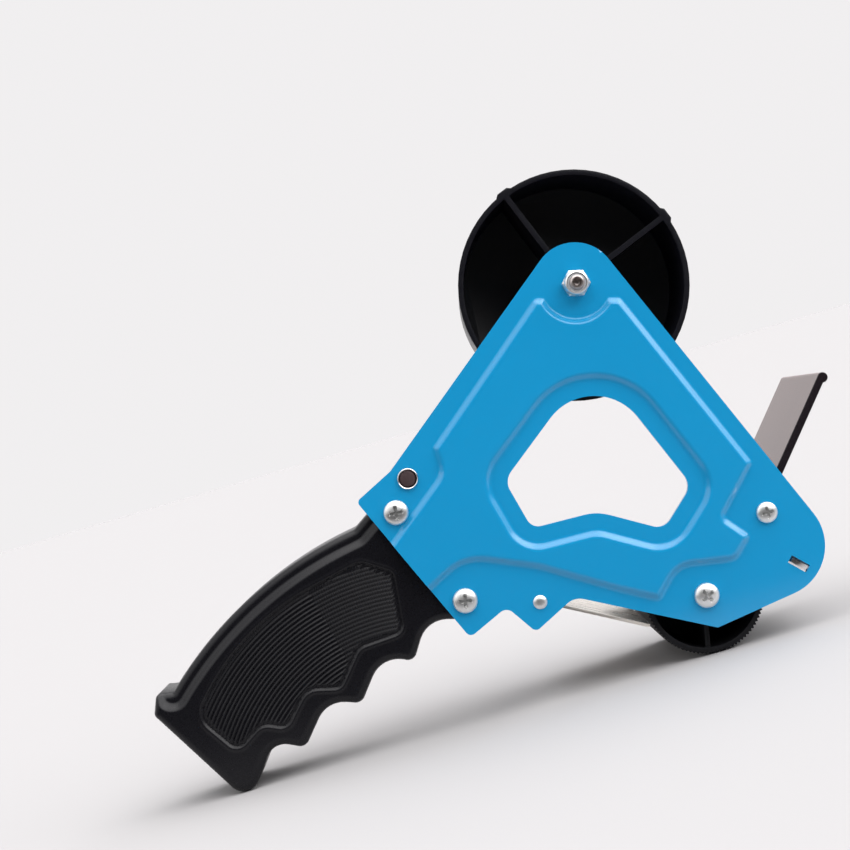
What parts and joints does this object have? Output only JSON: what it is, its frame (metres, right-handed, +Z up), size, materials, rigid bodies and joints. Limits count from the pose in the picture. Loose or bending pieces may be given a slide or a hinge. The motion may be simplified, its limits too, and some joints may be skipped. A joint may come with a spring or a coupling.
{
  "type": "tape gun dispenser",
  "caption": "Hand-held packing tape gun: stamped side plate with a ribbed tape hub, toothed roller, sprung flap, blade, flexible wiper and moulded handle.",
  "frame": {"origin": "centre of the bounding box in X and Y, on the floor that the roller and the handle heel stand on", "axes": "+X from the handle to the nose, +Y from the side plate across the tape to the open side, +Z up as it stands on its roller and heel"},
  "size_m": [0.2378, 0.0644, 0.1637],
  "materials": {
    "blue_paint": "gloss enamel on stamped steel",
    "black_plastic": "satin moulded",
    "black_rubber": "moulded, toothed",
    "wiper_plastic": "glossy flexible strip",
    "zinc": "bright zinc plate",
    "chrome": "bright plate on steel sheet",
    "spring_steel": "plain hardened steel",
    "bronze": "dark oxidised",
    "fibre": "friction washer fibre"
  },
  "bodies": {
    "frame": {"side_plate": "blue_paint", "hub_bolt": "zinc", "hub_nut": "zinc", "hub_spacer": "zinc", "hub_friction_washer": "fibre", "hub_spring": "spring_steel", "hub_end_washer": "zinc", "roller_axle": "zinc", "roller_screw": "zinc", "roller_spacer": "zinc", "roller_washer": "zinc", "roller_clip": "spring_steel", "blade_bracket": "chrome", "bracket_screw": "zinc", "cutter_blade": "spring_steel", "blade_rivet_1": "zinc", "blade_rivet_2": "zinc", "wiper_root": "wiper_plastic", "wiper_clamp": "chrome", "wiper_screw_1": "zinc", "wiper_screw_2": "zinc", "flap_pin": "chrome", "flap_spring": "spring_steel", "flap_clip": "spring_steel", "guide_post": "bronze", "guide_sleeve": "chrome", "handle_near": "black_plastic", "handle_far": "black_plastic", "handle_screw_upper": "zinc", "handle_screw_lower": "zinc", "handle_nut_upper": "zinc", "handle_nut_lower": "zinc"},
    "hub": {"hub_drum": "black_plastic"},
    "roller": {"tape_roller": "black_rubber"},
    "flap": {"tape_flap": "chrome"},
    "wiper": {"wiper_blade": "wiper_plastic"}
  },
  "joints": [
    {"name": "hub_spin", "type": "hinge", "parent": "frame", "child": "hub", "pos_m": [0.0494, 0.003, 0.12636], "axis": [0, 1, 0], "continuous": true},
    {"name": "roller_spin", "type": "hinge", "parent": "frame", "child": "roller", "pos_m": [0.06149, 0.003, 0.0194], "axis": [0, 1, 0], "continuous": true},
    {"name": "flap_swing", "type": "hinge", "parent": "frame", "child": "flap", "pos_m": [0.01002, 0.001, 0.03225], "axis": [0, 1, 0], "range_deg": [0, 22], "stiffness_Nm_per_rad": 0.03, "springref_deg": -22.92},
    {"name": "wiper_flex", "type": "hinge", "parent": "frame", "child": "wiper", "pos_m": [0.09101, 0.002, 0.04531], "axis": [0, 1, 0], "range_deg": [-28, 10], "stiffness_Nm_per_rad": 0.6}
  ]
}
